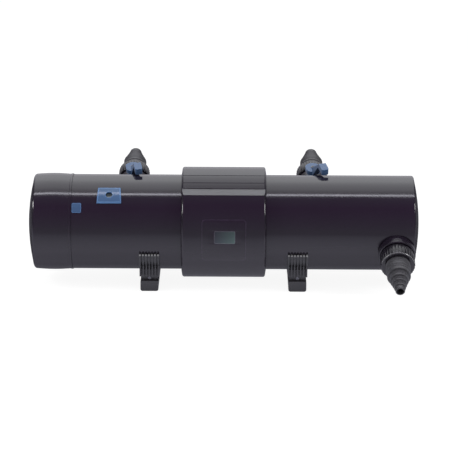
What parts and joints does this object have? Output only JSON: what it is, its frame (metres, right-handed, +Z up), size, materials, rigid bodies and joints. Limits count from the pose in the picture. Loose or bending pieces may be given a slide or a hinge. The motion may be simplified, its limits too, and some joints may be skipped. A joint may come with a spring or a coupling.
{
  "type": "canister filter",
  "caption": "Horizontal black pond canister with an ultraviolet lamp, blue-levered outlet valves, stepped hose tails, a wrapped middle band and ribbed feet.",
  "frame": {"origin": "on the ground, at the centre of the rectangle of the feet's four bolt holes, under the middle of the housing", "axes": "+Z up, +X along the housing from the lamp head to the inlet end, -Y towards the front, where the window, the lock button and the inlet are"},
  "size_m": [1.043, 0.5922, 0.3208],
  "materials": {
    "black_gloss": "polished moulded plastic",
    "grey_matte": "fine-grained moulded plastic",
    "blue": "smooth moulded plastic",
    "steel": "bright stainless",
    "plate": "satin",
    "rubber": "soft black rubber",
    "clear_glass": "clear fused quartz",
    "lamp_glass": "clear lamp glass",
    "white_plastic": "plain"
  },
  "bodies": {
    "vessel": {"housing": "black_gloss", "foot_left": "grey_matte", "foot_right": "grey_matte", "foot_block_left": "grey_matte", "foot_block_right": "grey_matte", "foot_screws": "steel", "band_collar": "black_gloss", "front_cover": "black_gloss", "rear_cover": "black_gloss", "cover_screws": "steel", "panel": "black_gloss", "blank_plate": "plate", "window_frame": "blue", "sight_glass": "clear_glass", "glass_seal": "rubber", "lock_spring": "steel", "inlet_flange": "black_gloss", "inlet_flange_seal": "rubber", "inlet_gasket": "rubber", "inlet_nut": "black_gloss", "inlet_tail": "grey_matte", "left_valve_body": "black_gloss", "left_valve_seal": "rubber", "left_gland_nut": "grey_matte", "left_gasket": "rubber", "left_nut": "black_gloss", "left_tail": "grey_matte", "right_valve_body": "black_gloss", "right_valve_seal": "rubber", "right_gland_nut": "grey_matte", "right_gasket": "rubber", "right_nut": "black_gloss", "right_tail": "grey_matte"},
    "left_handle": {"left_lever": "blue", "left_lever_screw": "steel", "left_spindle": "steel", "left_flap": "grey_matte"},
    "right_handle": {"right_lever": "blue", "right_lever_screw": "steel", "right_spindle": "steel", "right_flap": "grey_matte"},
    "button": {"lock_button": "blue"},
    "head": {"head_cap": "black_gloss", "bulkhead": "grey_matte", "bulkhead_seal": "rubber", "head_screws": "steel", "cable_gland": "grey_matte", "ballast_box": "white_plastic", "quartz_sleeve": "clear_glass", "sleeve_nut": "grey_matte", "sleeve_seal": "rubber", "lamp_tubes": "lamp_glass", "lamp_base": "white_plastic", "lamp_socket": "white_plastic", "sleeve_end_bearing": "grey_matte"},
    "cleaning_rotor": {"rotor": "grey_matte", "wiper_strips": "rubber"}
  },
  "joints": [
    {"name": "left_valve", "type": "hinge", "parent": "vessel", "child": "left_handle", "pos_m": [-0.2485, 0.14941, 0.21788], "axis": [0, -0.342, 0.9397], "range_deg": [-11, 79]},
    {"name": "right_valve", "type": "hinge", "parent": "vessel", "child": "right_handle", "pos_m": [0.2415, 0.14941, 0.21788], "axis": [0, -0.342, 0.9397], "range_deg": [-15, 75]},
    {"name": "lock_button", "type": "slide", "parent": "vessel", "child": "button", "axis": [0, 0.8434, -0.5373], "range_m": [0, 0.003], "stiffness_N_per_m": 800, "springref_m": -0.002, "deforming": ["lock_spring"]},
    {"name": "head_pull", "type": "slide", "parent": "vessel", "child": "head", "axis": [-1, 0, 0], "range_m": [0, 0.7]},
    {"name": "rotor_spin", "type": "hinge", "parent": "head", "child": "cleaning_rotor", "pos_m": [0, 0, 0.1635], "axis": [1, 0, 0], "continuous": true}
  ]
}
